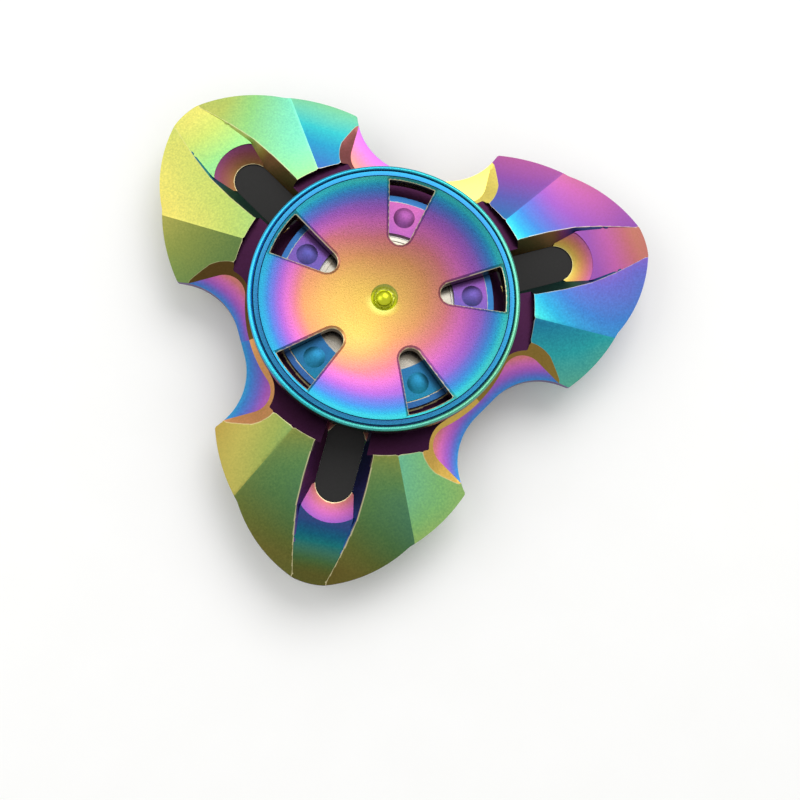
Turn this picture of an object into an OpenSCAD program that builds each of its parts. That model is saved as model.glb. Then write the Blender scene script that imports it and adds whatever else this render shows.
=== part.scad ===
// Three-armed fidget spinner: a faceted metal frame turns on a shielded ball bearing
// that is clamped between two windowed finger caps. It lies flat on the rim of its lower cap.
// The origin is the middle of the bearing, +Z is the spin axis, and one arm points along +X.

/* [Frame plan] */
// Distance from the spin axis to the tip of an arm
arm_reach = 30.7; // [30.7:0.1:31.5]
// Radius of the round tip of an arm
tip_round_r = 8.7; // [7.5:0.1:9.5]
// Direction of the straight flank, as the angle at which it leaves the tip
flank_angle = 50; // [45:1:54]
// Radius of the shoulder that ends in the horn
shoulder_r = 12.6; // [11.8:0.1:13.4]
// Distance of the shoulder's centre from the arm's centre line
shoulder_offset = 1.1; // [0.6:0.1:1.6]
// Distance of the shoulder's centre from the spin axis
shoulder_x = 14.8; // [14:0.1:15.6]
// Radius of the frame where it is narrowest, between two arms
waist_r = 15.7; // [15.3:0.1:16.3]
// Radius of the hollow between two arms
scallop_r = 7; // [6:0.1:8.4]
// Length of the straight stretch at the bottom of that hollow
scallop_flat = 3; // [1:0.1:4]

/* [Frame facets] */
// Half thickness at the hub end of the ridge
ridge_in_h = 2.3; // [2:0.05:3.2]
// Half thickness where the ridge meets the edge
ridge_out_h = 0.9; // [0.8:0.05:1.4]
// Half thickness at the tip and at the horns
edge_h = 0.4; // [0.3:0.05:0.6]
// Distance of the ridge's hub end from the arm's centre line
ridge_in_y = 5.66; // [5:0.05:6.2]
// Distance of the ridge's outer end from the arm's centre line
ridge_out_y = 9.3; // [8.6:0.05:9.8]

/* [Recesses] */
// Radius of the round recess in the frame around each cap
recess_r = 16.5; // [16.2:0.05:17.2]
// Half thickness of the floor of that recess
floor_h = 1.2; // [1:0.05:1.4]
// Half thickness of the shelf at its outer edge, between two arms
shelf_edge_h = 0.45; // [0.35:0.05:0.5]
// Rise of the shelf for each millimetre towards the hub
shelf_rise = 0.14; // [0.05:0.01:0.16]
// Half width of the pocket over the shelf
pocket_half_w = 7.72; // [7.3:0.02:7.9]
// Radius of the pocket's corners
pocket_corner_r = 2.3; // [1.6:0.1:2.8]
// Radius of the hub wall at the shelf
hub_wall_r = 14.8; // [14.5:0.05:15.1]
// Steepness of the pocket's walls, in degrees from level
pocket_wall_angle = 50; // [45:1:60]

/* [Arm channel] */
// Half thickness of the channel's floor, at the slot's rim
channel_h = 0.45; // [0.4:0.05:0.6]
// Width of the slot
slot_w = 4.1; // [3.4:0.1:4.9]
// Distance from the spin axis to the hub end of the slot
slot_start = 13.2; // [13:0.1:14]
// Distance from the spin axis to the outer end of the slot
slot_end = 21.95; // [21:0.05:22.6]
// Width of the sloping apron beyond the outer end of the slot
apron_w = 2.2; // [1.6:0.1:2.4]
// Rise of the apron over its width
apron_rise = 0.35; // [0.2:0.01:0.45]
// Half width of the channel's mouth at the tip
mouth_half_w = 1.66; // [1.3:0.02:2]
// Half width of the channel where the apron ends
throat_half_w = 2.84; // [2.7:0.02:3]
// Rise of the ramp for each millimetre from the tip towards the hub
ramp_rise = 0.075; // [0.06:0.001:0.08]
// Steepness of the walls beside the slot, in degrees from level
channel_wall_angle = 61.5; // [60:0.5:63]
// Thickness of the black inlay that closes the slot
inlay_t = 0.6; // [0.4:0.05:0.8]
// Clearance all round an inlay
inlay_fit = 0.02; // [0.01:0.01:0.05]

/* [Bearing] */
// Bore of the inner race
bearing_bore = 8; // [7:0.1:8.4]
// Outside diameter of the outer race
bearing_od = 16; // [15.8:0.1:19.2]
// Width of the bearing
bearing_w = 5; // [4.8:0.1:6]
// Diameter of a ball
ball_d = 2.38; // [2.1:0.02:2.86]
// Number of balls
ball_count = 9; // [7:1:10]
// Radial gap between the two races
race_gap = 1.7; // [1.5:0.05:2]
// Radial clearance between a ball and the races' grooves
ball_fit = 0.06; // [0.03:0.01:0.08]
// Clearance between a ball and its pocket in the cage
pocket_fit = 0.08; // [0.04:0.01:0.12]
// Radial width of the cage
cage_w = 1; // [0.8:0.05:1.1]
// Height of the cage above and below its pockets
cage_rim = 0.3; // [0.2:0.05:0.4]
// Thickness of a shield
shield_t = 0.25; // [0.2:0.05:0.3]
// Depth of a shield below the bearing's face
shield_depth = 0.2; // [0.18:0.01:0.25]
// Thickness of the outer race around a shield
shield_seat_wall = 0.6; // [0.5:0.05:0.7]
// Gap between a shield and the inner race
shield_gap = 0.12; // [0.08:0.01:0.2]
// Thickness of the split ring that holds a shield
clip_t = 0.14; // [0.1:0.02:0.16]
// Radial width of that split ring
clip_w = 0.36; // [0.3:0.02:0.4]
// Angle left open in that split ring
clip_opening = 28; // [15:1:60]
// Clearance between the outer race and its seat in the frame
seat_fit = 0.01; // [0.005:0.005:0.03]

/* [Retainer] */
// Radial width of the retainer ring outside the bearing
retainer_w = 3.2; // [2.7:0.05:3.4]
// Overlap of the retainer, and of the lip below, over the outer race
retainer_lap = 0.35; // [0.2:0.05:0.5]
// Thickness of the retainer ring, and of the lip below
retainer_t = 0.5; // [0.4:0.05:0.5]
// Height of the retainer ring above its collar
retainer_proud = 0.1; // [0.05:0.05:0.15]
// Thickness of the collar around the retainer ring
collar_wall = 0.7; // [0.5:0.05:1]
// Clearance round the retainer ring
retainer_fit = 0.03; // [0.02:0.01:0.06]
// Number of retainer screws and of windows in a cap
window_count = 5; // [3:1:5]
// Diameter of a screw's head
screw_head_d = 2.3; // [2:0.1:2.5]
// Height of a screw's head
screw_head_h = 0.24; // [0.16:0.02:0.26]
// Diameter of a screw's shank
screw_d = 1.2; // [1:0.1:1.4]
// Length of a screw under its head
screw_l = 3; // [2:0.1:4]
// Clearance round a screw's shank
screw_fit = 0.03; // [0.02:0.01:0.05]

/* [Caps] */
// Diameter of a finger cap
cap_d = 28.8; // [24:0.1:29]
// Thickness of a cap, from the face on its spacer to its rim
cap_t = 2.3; // [2.1:0.05:2.8]
// Height of the boss that keeps a cap's underside off the frame
boss_step = 0.4; // [0.35:0.05:0.5]
// Radial width of that boss around its spacer
boss_lap = 0.1; // [0:0.05:0.3]
// Depth of the dished face at its centre
dish_depth = 0.7; // [0.4:0.05:0.9]
// Width of the flat rim
rim_w = 0.55; // [0.4:0.05:0.7]
// Width of the rounded bead outside the rim
bead_w = 0.5; // [0.4:0.05:0.6]
// Width and depth of the fine grooves beside the rim
groove_w = 0.12; // [0.08:0.02:0.16]
// Angle of the first window from +X
window_phase = -11; // [-36:1:36]
// Radius of a window's round inner end
window_end_r = 1.2; // [0.9:0.05:1.3]
// Distance from the spin axis to a window's inner end
window_start = 6; // [5.8:0.05:6.6]
// Half width of a window at its outer end
window_half_w = 2.5; // [2:0.05:2.7]
// Distance from a window's outer end to the edge of the dished face
window_rim = 0.33; // [0.2:0.01:0.6]
// Diameter of the dimple at the centre of a cap
dimple_d = 2.9; // [2.7:0.1:3.1]
// Depth of the dimple
dimple_depth = 0.5; // [0.4:0.05:0.6]

/* [Axle] */
// Thickness of the spacer washer between a cap and the inner race
spacer_t = 0.5; // [0.45:0.05:0.7]
// Radial width of a spacer washer
spacer_w = 0.9; // [0.6:0.05:1]
// Radial clearance between a cap's spigot and the inner race
spigot_fit = 0.05; // [0.03:0.01:0.08]
// Gap between the ends of the two spigots
spigot_gap = 0.3; // [0.2:0.05:0.6]
// Diameter of the stud that joins the caps
stud_d = 2.5; // [2.2:0.1:2.8]
// Diameter of the stud's pips
pip_d = 1.6; // [1.4:0.05:1.9]
// Height of a pip above the floor of its dimple
pip_h = 0.6; // [0.4:0.05:0.7]
// Height of the rounded top of a pip
pip_dome_h = 0.35; // [0.25:0.05:0.4]
// Radial clearance round the stud
stud_fit = 0.03; // [0.02:0.01:0.05]

/* [Hidden] */
$fn = 96;

arms = [0, 120, 240];            // directions of the arms
gaps = [60, 180, 300];           // directions of the hollows between them
reach = 60;                      // longer than any part of the frame
deep = 6;                        // deeper than half the frame

half_h = bearing_w / 2 + spacer_t + cap_t;      // half the whole thickness
ball_r = ball_d / 2;
pitch_d = (bearing_bore + bearing_od) / 2;      // circle that the balls run on
inner_land_d = pitch_d - race_gap;
outer_land_d = pitch_d + race_gap;
cage_h = ball_d + 2 * (pocket_fit + cage_rim);
retainer_od = bearing_od + 2 * retainer_w;
collar_d = retainer_od + 2 * collar_wall;
screw_circle_d = bearing_od + retainer_w;       // the screws stand midway across the ring
spacer_od = bearing_bore + 2 * spacer_w;
boss_d = spacer_od + 2 * boss_lap;
groove_r = ball_r + ball_fit;
bearing_r = bearing_od / 2;
cap_r = cap_d / 2;
seat_h = bearing_w / 2;                         // half height of the bearing's seat
collar_h = seat_h + retainer_t - retainer_proud;
slot_r = slot_w / 2;
slot_out_x = slot_end - slot_r;                 // centre of the slot's outer end
slot_in_x = slot_start + slot_r;                // centre of the slot's hub end
apron_r = slot_r + apron_w;
scallop_x = waist_r + scallop_r;                // centre of a hollow's round ends
face_r = cap_r - bead_w - groove_w - rim_w;     // outer edge of a cap's dished face
under_h = seat_h + spacer_t + boss_step;        // underside of a cap above the mid-plane
dish_r = (pow(face_r, 2) + pow(dish_depth, 2)) / (2 * dish_depth);
face_h = half_h - dish_depth;                   // centre of a cap's face above the mid-plane
dimple_h = face_h - dimple_depth;               // floor of the dimple above the mid-plane
stud_neck = 0.5;                                // the stud's shoulder stops this far under the dimple

// Points that the facets of an arm pass through, as [along the arm, across it, height]
tip_x = arm_reach - tip_round_r + sqrt(pow(tip_round_r, 2) - pow(mouth_half_w, 2));
shoulder_out_x = arm_reach - tip_round_r + tip_round_r * cos(flank_angle);
ridge_out_x = shoulder_out_x - (ridge_out_y - tip_round_r * sin(flank_angle)) * tan(flank_angle);
ridge_in_x = sqrt(pow(recess_r, 2) - pow(ridge_in_y, 2));
horn_v = pocket_half_w + 0.2;
horn_u = scallop_x - sqrt(pow(scallop_r, 2) - pow(horn_v - scallop_flat / 2, 2));
horn = [horn_u * cos(60) + horn_v * sin(60), horn_u * sin(60) - horn_v * cos(60), edge_h];
ridge_in = [ridge_in_x, ridge_in_y, ridge_in_h];
ridge_out = [ridge_out_x, ridge_out_y, ridge_out_h];
tip_edge = [tip_x, mouth_half_w, edge_h];

// The same shape on the top and on the underside of the frame
module both_faces() {
    children();
    mirror([0, 0, 1]) children();
}

// The same shape on both sides of an arm
module both_sides() {
    children();
    mirror([0, 1, 0]) children();
}

// Everything above the plane through three points that run anticlockwise from above
module above_plane(a, b, c) {
    n = cross(b - a, c - a);
    translate(a)
        rotate([0, acos(n[2] / norm(n)), atan2(n[1], n[0])])
            translate([-reach, -reach, 0])
                cube([2 * reach, 2 * reach, deep * 2]);
}

// ---- Frame -------------------------------------------------------------------------------

// Plan of one arm before the hollows are cut
module arm_plan() {
    both_sides() {
        translate([shoulder_x, shoulder_offset]) circle(r = shoulder_r);
        polygon([
            [0, 0],
            [arm_reach - tip_round_r, 0],
            [shoulder_out_x, tip_round_r * sin(flank_angle)],
            [shoulder_x + shoulder_r * cos(flank_angle), shoulder_offset + shoulder_r * sin(flank_angle)],
            [shoulder_x, shoulder_offset]
        ]);
    }
    translate([arm_reach - tip_round_r, 0]) circle(r = tip_round_r);
}

// One arm, with its four facets above and below, kept clear of its neighbours at the hub
module arm_blank() {
    start = 1.2;
    difference() {
        intersection() {
            linear_extrude(height = 2 * deep, center = true) arm_plan();
            linear_extrude(height = 2 * deep + 1, center = true) polygon([
                [start, 0],
                [start + reach * cos(60), -reach * sin(60)],
                [reach, 0],
                [start + reach * cos(60), reach * sin(60)]
            ]);
        }
        both_faces() both_sides() {
            above_plane(ridge_in, tip_edge, ridge_out);
            above_plane(ridge_in, ridge_out, horn);
        }
    }
}

// Hollow between two arms, cut right through
module scallop() {
    linear_extrude(height = 2 * deep, center = true) {
        both_sides() translate([scallop_x, scallop_flat / 2]) circle(r = scallop_r);
        translate([scallop_x - scallop_r, -scallop_flat / 2]) square([2 * scallop_r, scallop_flat]);
        translate([scallop_x, -scallop_r - scallop_flat / 2]) square([scallop_r, 2 * scallop_r + scallop_flat]);
    }
}

// Pocket over the shelf between two arms: drafted walls, round corners, a gently rising floor
module shelf_pocket() {
    draft = 1 / tan(pocket_wall_angle);
    corner_v = pocket_half_w - pocket_corner_r;
    corner_u = sqrt(pow(hub_wall_r + pocket_corner_r, 2) - pow(corner_v, 2));
    to_hub = 180 + atan2(corner_v, corner_u);
    base_h = 2 * shelf_edge_h;                  // level at which the pocket's widths are given
    low_h = base_h - shelf_edge_h;
    top_h = deep - base_h;
    far_r = scallop_r + (deep - shelf_edge_h) / shelf_rise;
    difference() {
        intersection() {
            union() {
                both_sides() translate([scallop_x, scallop_flat / 2, 0]) rotate_extrude() polygon([
                    [0, shelf_edge_h], [scallop_r, shelf_edge_h], [far_r, deep], [0, deep]
                ]);
                translate([0, scallop_flat / 2, 0]) rotate([90, 0, 0])
                    linear_extrude(height = scallop_flat) polygon([
                        [scallop_x, shelf_edge_h],
                        [scallop_x - scallop_r, shelf_edge_h],
                        [scallop_x - far_r, deep],
                        [scallop_x, deep]
                    ]);
            }
            rotate([90, 0, 90]) linear_extrude(height = reach) polygon([
                [-pocket_half_w + low_h * draft, shelf_edge_h],
                [pocket_half_w - low_h * draft, shelf_edge_h],
                [pocket_half_w + top_h * draft, deep],
                [-pocket_half_w - top_h * draft, deep]
            ]);
        }
        cylinder(h = deep, r1 = hub_wall_r + base_h * draft, r2 = hub_wall_r - top_h * draft);
        both_sides() translate([corner_u, corner_v, 0]) difference() {
            linear_extrude(height = deep) polygon([
                [0, 0],
                [0, hub_wall_r],
                [-hub_wall_r, hub_wall_r],
                [hub_wall_r * cos(to_hub), hub_wall_r * sin(to_hub)]
            ]);
            cylinder(h = deep, r1 = pocket_corner_r - base_h * draft, r2 = pocket_corner_r + top_h * draft);
        }
    }
}

// Channel along an arm: a ramp from the tip, then the deeper recess around the slot
module arm_channel() {
    apron_x = slot_out_x + apron_r;
    throat_x = slot_out_x + sqrt(pow(apron_r, 2) - pow(throat_half_w, 2));
    splay = 2;                                  // the walls beside the slot open outwards, degrees
    draft = 1 / tan(channel_wall_angle);
    ramp_top = edge_h + ramp_rise * (arm_reach - slot_out_x);
    // ramp
    intersection() {
        translate([0, reach / 2, 0]) rotate([90, 0, 0]) linear_extrude(height = reach) polygon([
            [arm_reach + 1, edge_h - ramp_rise],
            [arm_reach + 1, deep],
            [slot_out_x, deep],
            [slot_out_x, ramp_top]
        ]);
        linear_extrude(height = deep) both_sides() polygon([
            [slot_out_x, 0],
            [slot_out_x, slot_r],
            [throat_x, throat_half_w],
            [tip_x - (tip_x - throat_x) * 0.5, mouth_half_w + (throat_half_w - mouth_half_w) * 0.62],
            [tip_x, mouth_half_w],
            [arm_reach + 1, mouth_half_w - 0.2],
            [arm_reach + 1, 0]
        ]);
    }
    // recess around the slot
    intersection() {
        union() {
            translate([slot_out_x, 0, 0]) rotate_extrude() polygon([
                [0, channel_h], [slot_r, channel_h], [apron_r, channel_h + apron_rise],
                [apron_r, deep], [0, deep]
            ]);
            translate([slot_start, -apron_r, channel_h]) cube([slot_out_x - slot_start, 2 * apron_r, deep]);
        }
        intersection_for(side = [0, 1]) mirror([0, side, 0]) translate([recess_r, 0, 0]) rotate([0, 0, splay])
            translate([-reach / 2, 0, 0]) rotate([90, 0, 90]) linear_extrude(height = reach) polygon([
                [-reach, 0],
                [slot_r, channel_h - 0.1],
                [slot_r + (deep - channel_h) * draft, deep],
                [-reach, deep]
            ]);
    }
}

// Plan of the slot in an arm, made smaller all round by a clearance
module slot_plan(fit = 0) {
    translate([slot_in_x, 0]) circle(r = slot_r - fit);
    translate([slot_out_x, 0]) circle(r = slot_r - fit);
    translate([slot_in_x, fit - slot_r]) square([slot_out_x - slot_in_x, slot_w - 2 * fit]);
}

module screw_places() {
    for (i = [0 : window_count - 1])
        rotate(window_phase + i * 360 / window_count) translate([screw_circle_d / 2, 0, seat_h]) children();
}

// The frame before its hub is bored
module frame_blank() {
    difference() {
        difference() {
            union() {
                difference() {
                    for (a = arms) rotate(a) arm_blank();
                    both_faces() translate([0, 0, floor_h]) cylinder(h = deep, r = recess_r);
                }
                cylinder(h = 2 * floor_h, r = (waist_r + recess_r) / 2, center = true);
                translate([0, 0, -seat_h - retainer_t])
                    cylinder(h = collar_h + seat_h + retainer_t, d = collar_d);
            }
            for (a = gaps) rotate(a) scallop();
            for (a = gaps) rotate(a) both_faces() shelf_pocket();
        }
        for (a = arms) rotate(a) {
            both_faces() arm_channel();
            linear_extrude(height = 2 * deep, center = true) slot_plan();
        }
    }
}

// Bore of the hub: a lip below, the bearing's seat, and the retainer's seat above
module hub_bore() {
    seat_r = bearing_r + seat_fit;
    lip_r = bearing_r - retainer_lap;
    ring_r = retainer_od / 2 + retainer_fit;
    rotate_extrude() polygon([
        [0, -deep], [lip_r, -deep], [lip_r, -seat_h], [seat_r, -seat_h],
        [seat_r, seat_h], [ring_r, seat_h], [ring_r, deep], [0, deep]
    ]);
}

module frame() {
    color([0.36, 0.62, 0.66]) difference() {
        frame_blank();
        hub_bore();
        screw_places() translate([0, 0, -screw_l]) cylinder(h = screw_l + 0.5, d = screw_d + 2 * screw_fit);
    }
}

module slot_inlay(i) {
    color([0.12, 0.12, 0.13]) rotate(arms[i - 1])
        linear_extrude(height = inlay_t, center = true) slot_plan(inlay_fit);
}

// ---- Retainer ----------------------------------------------------------------------------

module retainer_ring() {
    color([0.25, 0.45, 0.72]) difference() {
        translate([0, 0, seat_h]) cylinder(h = retainer_t, d = retainer_od);
        cylinder(h = deep, r = bearing_r - retainer_lap);
        screw_places() cylinder(h = deep, d = screw_d + 2 * screw_fit);
    }
}

module retainer_screws() {
    dome_r = (pow(screw_head_d / 2, 2) + pow(screw_head_h, 2)) / (2 * screw_head_h);
    color([0.3, 0.5, 0.78]) screw_places() {
        translate([0, 0, -screw_l]) cylinder(h = screw_l + retainer_t + screw_head_h / 2, d = screw_d);
        translate([0, 0, retainer_t]) intersection() {
            cylinder(h = screw_head_h, d = screw_head_d);
            translate([0, 0, screw_head_h - dome_r]) sphere(r = dome_r);
        }
    }
}

// ---- Bearing -----------------------------------------------------------------------------

module ball_groove() {
    rotate_extrude() translate([pitch_d / 2, 0]) circle(r = groove_r);
}

module inner_race() {
    color([0.74, 0.75, 0.77]) difference() {
        cylinder(h = bearing_w, d = inner_land_d, center = true);
        cylinder(h = bearing_w + 1, d = bearing_bore, center = true);
        ball_groove();
    }
}

module outer_race() {
    shield_seat_h = seat_h - shield_depth - shield_t;
    color([0.7, 0.71, 0.73]) difference() {
        cylinder(h = bearing_w, d = bearing_od, center = true);
        cylinder(h = bearing_w + 1, d = outer_land_d, center = true);
        both_faces() translate([0, 0, shield_seat_h]) cylinder(h = deep, r = bearing_r - shield_seat_wall);
        ball_groove();
    }
}

module ball_cage() {
    color([0.8, 0.66, 0.36]) difference() {
        cylinder(h = cage_h, d = pitch_d + cage_w, center = true);
        cylinder(h = cage_h + 1, d = pitch_d - cage_w, center = true);
        for (i = [1 : ball_count]) ball_place(i) rotate([0, 90, 0])
            cylinder(h = 2 * cage_w, r = ball_r + pocket_fit, center = true);
    }
}

module ball_place(i) {
    rotate((i - 1) * 360 / ball_count) translate([pitch_d / 2, 0, 0]) children();
}

module ball(i) {
    color([0.88, 0.89, 0.9]) ball_place(i) sphere(r = ball_r);
}

// The shield and its clip are the same piece above and below
module shield() {
    translate([0, 0, seat_h - shield_depth - shield_t]) difference() {
        cylinder(h = shield_t, r = bearing_r - shield_seat_wall - seat_fit);
        translate([0, 0, -1]) cylinder(h = shield_t + 2, r = inner_land_d / 2 + shield_gap);
    }
}

module shield_clip() {
    clip_r = bearing_r - shield_seat_wall - seat_fit;
    translate([0, 0, seat_h - shield_depth]) difference() {
        cylinder(h = clip_t, r = clip_r);
        translate([0, 0, -1]) cylinder(h = clip_t + 2, r = clip_r - clip_w);
        translate([0, 0, -1]) linear_extrude(height = clip_t + 2) polygon([
            [0, 0],
            [2 * clip_r * cos(clip_opening / 2), -2 * clip_r * sin(clip_opening / 2)],
            [2 * clip_r * cos(clip_opening / 2), 2 * clip_r * sin(clip_opening / 2)]
        ]);
    }
}

module upper_shield() { color([0.76, 0.77, 0.79]) shield(); }
module lower_shield() { color([0.76, 0.77, 0.79]) mirror([0, 0, 1]) shield(); }
module upper_shield_clip() { color([0.6, 0.61, 0.63]) shield_clip(); }
module lower_shield_clip() { color([0.6, 0.61, 0.63]) mirror([0, 0, 1]) shield_clip(); }

// ---- Caps and axle -----------------------------------------------------------------------

module window_plan() {
    window_end_x = window_start + window_end_r;
    outer_r = face_r - window_rim;
    spread = asin((window_half_w - window_end_r) / (outer_r - window_end_x));
    intersection() {
        union() {
            translate([window_end_x, 0]) circle(r = window_end_r);
            polygon([
                [window_end_x - window_end_r * sin(spread), window_end_r * cos(spread)],
                [window_end_x - window_end_r * sin(spread), -window_end_r * cos(spread)],
                [outer_r, -window_half_w],
                [outer_r, window_half_w]
            ]);
        }
        circle(r = outer_r);
    }
}

// A cap with its face up: rim, bead, dished face, windows, boss, spigot and dimple
module cap() {
    spigot_r = bearing_bore / 2 - spigot_fit;
    bead_r = bead_w / 2;
    side_chamfer = 0.2;
    dimple_floor_r = dimple_d / 2 - dimple_depth;
    difference() {
        rotate_extrude() difference() {
            union() {
                polygon([
                    [0, spigot_gap / 2], [spigot_r, spigot_gap / 2], [spigot_r, seat_h + spacer_t],
                    [boss_d / 2, seat_h + spacer_t], [boss_d / 2, under_h],
                    [cap_r - side_chamfer, under_h], [cap_r, under_h + side_chamfer],
                    [cap_r, half_h - bead_r], [cap_r - bead_w, half_h - bead_r],
                    [cap_r - bead_w, half_h - groove_w], [cap_r - bead_w - groove_w, half_h],
                    [0, half_h]
                ]);
                translate([cap_r - bead_r, half_h - bead_r]) circle(r = bead_r);
            }
            translate([-cap_r, 0]) square([cap_r, 2 * half_h]);
        }
        translate([0, 0, face_h + dish_r]) sphere(r = dish_r, $fn = 256);
        for (i = [0 : window_count - 1]) rotate(window_phase + i * 360 / window_count)
            translate([0, 0, under_h - 1]) linear_extrude(height = deep) window_plan();
        translate([0, 0, dimple_h]) cylinder(h = deep, r1 = dimple_floor_r, r2 = dimple_floor_r + deep);
        cylinder(h = deep, d = pip_d + 2 * stud_fit);
        cylinder(h = dimple_h - stud_neck, d = stud_d + 2 * stud_fit);
    }
}

module spacer() {
    translate([0, 0, seat_h]) difference() {
        cylinder(h = spacer_t, d = spacer_od);
        translate([0, 0, -1]) cylinder(h = spacer_t + 2, d = bearing_bore);
    }
}

module half_stud() {
    pip_top = dimple_h + pip_h;
    dome_r = (pow(pip_d / 2, 2) + pow(pip_dome_h, 2)) / (2 * pip_dome_h);
    cylinder(h = dimple_h - stud_neck, d = stud_d);
    intersection() {
        cylinder(h = pip_top, d = pip_d);
        union() {
            cylinder(h = pip_top - pip_dome_h, d = pip_d);
            translate([0, 0, pip_top - dome_r]) sphere(r = dome_r);
        }
    }
}

module upper_spacer() { color([0.8, 0.8, 0.82]) spacer(); }
module lower_spacer() { color([0.8, 0.8, 0.82]) mirror([0, 0, 1]) spacer(); }
module upper_cap() { color([0.85, 0.55, 0.62]) cap(); }
module lower_cap() { color([0.85, 0.55, 0.62]) mirror([0, 0, 1]) cap(); }
module axle_stud() { color([0.82, 0.84, 0.25]) both_faces() half_stud(); }

frame();
for (i = [1 : 3]) slot_inlay(i);
retainer_ring();
retainer_screws();
outer_race();
inner_race();
ball_cage();
for (i = [1 : ball_count]) ball(i);
upper_shield();
lower_shield();
upper_shield_clip();
lower_shield_clip();
upper_spacer();
lower_spacer();
upper_cap();
lower_cap();
axle_stud();
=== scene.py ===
import math

import bpy
import numpy as np
from mathutils import Matrix, Vector


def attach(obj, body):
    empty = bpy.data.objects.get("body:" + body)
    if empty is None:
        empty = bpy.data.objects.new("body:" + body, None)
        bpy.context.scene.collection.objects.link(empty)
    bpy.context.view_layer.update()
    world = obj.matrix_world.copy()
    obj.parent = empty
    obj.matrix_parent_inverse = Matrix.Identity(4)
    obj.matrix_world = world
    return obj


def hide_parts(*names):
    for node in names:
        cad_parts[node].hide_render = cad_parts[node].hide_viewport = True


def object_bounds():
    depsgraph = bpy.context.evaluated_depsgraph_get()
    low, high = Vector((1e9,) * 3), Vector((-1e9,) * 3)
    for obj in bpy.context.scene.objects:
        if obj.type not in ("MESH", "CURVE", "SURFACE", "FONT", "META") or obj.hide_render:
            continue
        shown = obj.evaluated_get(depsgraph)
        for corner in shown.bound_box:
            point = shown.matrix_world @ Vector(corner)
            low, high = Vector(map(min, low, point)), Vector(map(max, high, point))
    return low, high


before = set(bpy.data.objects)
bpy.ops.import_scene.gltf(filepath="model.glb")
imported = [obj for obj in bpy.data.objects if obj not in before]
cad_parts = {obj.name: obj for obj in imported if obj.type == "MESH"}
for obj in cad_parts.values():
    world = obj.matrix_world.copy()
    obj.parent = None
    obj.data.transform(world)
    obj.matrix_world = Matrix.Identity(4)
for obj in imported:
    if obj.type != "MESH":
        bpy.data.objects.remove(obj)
cad_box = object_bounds()

# ---- Camera, floor and light ------------------------------------------------------------
# The spinner lies on a pale seamless table and is looked down on from its front left.
# One broad soft lamp hangs behind its right-hand arm, and the room fills in from all sides.


def linear(code):
    """A hex colour as the linear RGBA values that shaders take"""
    parts = [int(code[i:i + 2], 16) / 255 for i in (1, 3, 5)]
    return tuple(c / 12.92 if c <= 0.04045 else ((c + 0.055) / 1.055) ** 2.4 for c in parts) + (1.0,)


def add(tree, kind, inputs=None, **settings):
    """One shader node with its settings; an input takes a value or another node's output"""
    made = tree.nodes.new("ShaderNode" + kind)
    for name, value in settings.items():
        setattr(made, name, value)
    for name, value in (inputs or {}).items():
        if isinstance(value, bpy.types.NodeSocket):
            tree.links.new(value, made.inputs[name])
        else:
            made.inputs[name].default_value = value
    return made


def new_material(name):
    """An empty material's node tree with its shader wired to the output"""
    material = bpy.data.materials.new(name)
    material.use_nodes = True
    tree = material.node_tree
    tree.nodes.clear()
    shader = add(tree, "BsdfPrincipled")
    add(tree, "OutputMaterial", {"Surface": shader.outputs["BSDF"]})
    return material, tree, shader


# Sizes are in millimetres throughout, and mm turns one into metres
mm = 0.001
scene = bpy.context.scene
scene.view_settings.view_transform = "Standard"

eye = Vector((-17.18, -30.07, 128.14)) * mm
aim = Vector((-0.78, -10.33, 0.0)) * mm
back = (eye - aim).normalized()
right = Vector((0, 0, 1)).cross(back).normalized()
up = back.cross(right)
roll = math.radians(24.55)
across = right * math.cos(roll) + up * math.sin(roll)
upward = up * math.cos(roll) - right * math.sin(roll)
lens = bpy.data.cameras.new("camera")
lens.lens = 54.5
lens.sensor_width = 36
lens.clip_start = 0.01
lens.clip_end = 10
camera = bpy.data.objects.new("camera", lens)
camera.matrix_world = Matrix.Translation(eye) @ Matrix((across, upward, back)).transposed().to_4x4()
scene.collection.objects.link(camera)
scene.camera = camera

table_z = cad_box[0].z
table_half = 3000 * mm
table_mesh = bpy.data.meshes.new("table")
table_corners = [(a * table_half, b * table_half, table_z) for a, b in ((-1, -1), (1, -1), (1, 1), (-1, 1))]
table_mesh.from_pydata(table_corners, [], [(0, 1, 2, 3)])
table = bpy.data.objects.new("table", table_mesh)
scene.collection.objects.link(table)

# Matt white paper, uncoated: a bright floor without gloss, faintly mottled by its fibres
fibres_per_mm = 0.9
paper, tree, shader = new_material("matt_white_paper")
fibre = add(tree, "TexNoise", {"Scale": fibres_per_mm / mm, "Detail": 4.0})
tint = add(tree, "ValToRGB", {"Fac": fibre.outputs["Fac"]})
tint.color_ramp.elements[0].color = linear("#fbfbf9")
tint.color_ramp.elements[1].color = linear("#fefefd")
tree.links.new(tint.outputs["Color"], shader.inputs["Base Color"])
shader.inputs["Roughness"].default_value = 0.9
shader.inputs["Specular IOR Level"].default_value = 0.1
table_mesh.materials.append(paper)

world = bpy.data.worlds.new("studio")
world.use_nodes = True
world.node_tree.nodes["Background"].inputs["Color"].default_value = (1.0, 1.0, 1.0, 1.0)
world.node_tree.nodes["Background"].inputs["Strength"].default_value = 0.66
scene.world = world


def soft_lamp(name, place, size, power):
    """A square area lamp, placed in millimetres, that faces the spinner"""
    data = bpy.data.lights.new(name, "AREA")
    data.size = size * mm
    data.energy = power
    lamp = bpy.data.objects.new(name, data)
    lamp.location = Vector(place) * mm
    lamp.rotation_mode = "QUATERNION"
    lamp.rotation_quaternion = lamp.location.to_track_quat("Z", "Y")
    scene.collection.objects.link(lamp)


soft_lamp("key_lamp", (150, 190, 330), 300, 0.74)
soft_lamp("fill_lamp", (-260, 120, 260), 260, 0.25)

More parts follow.
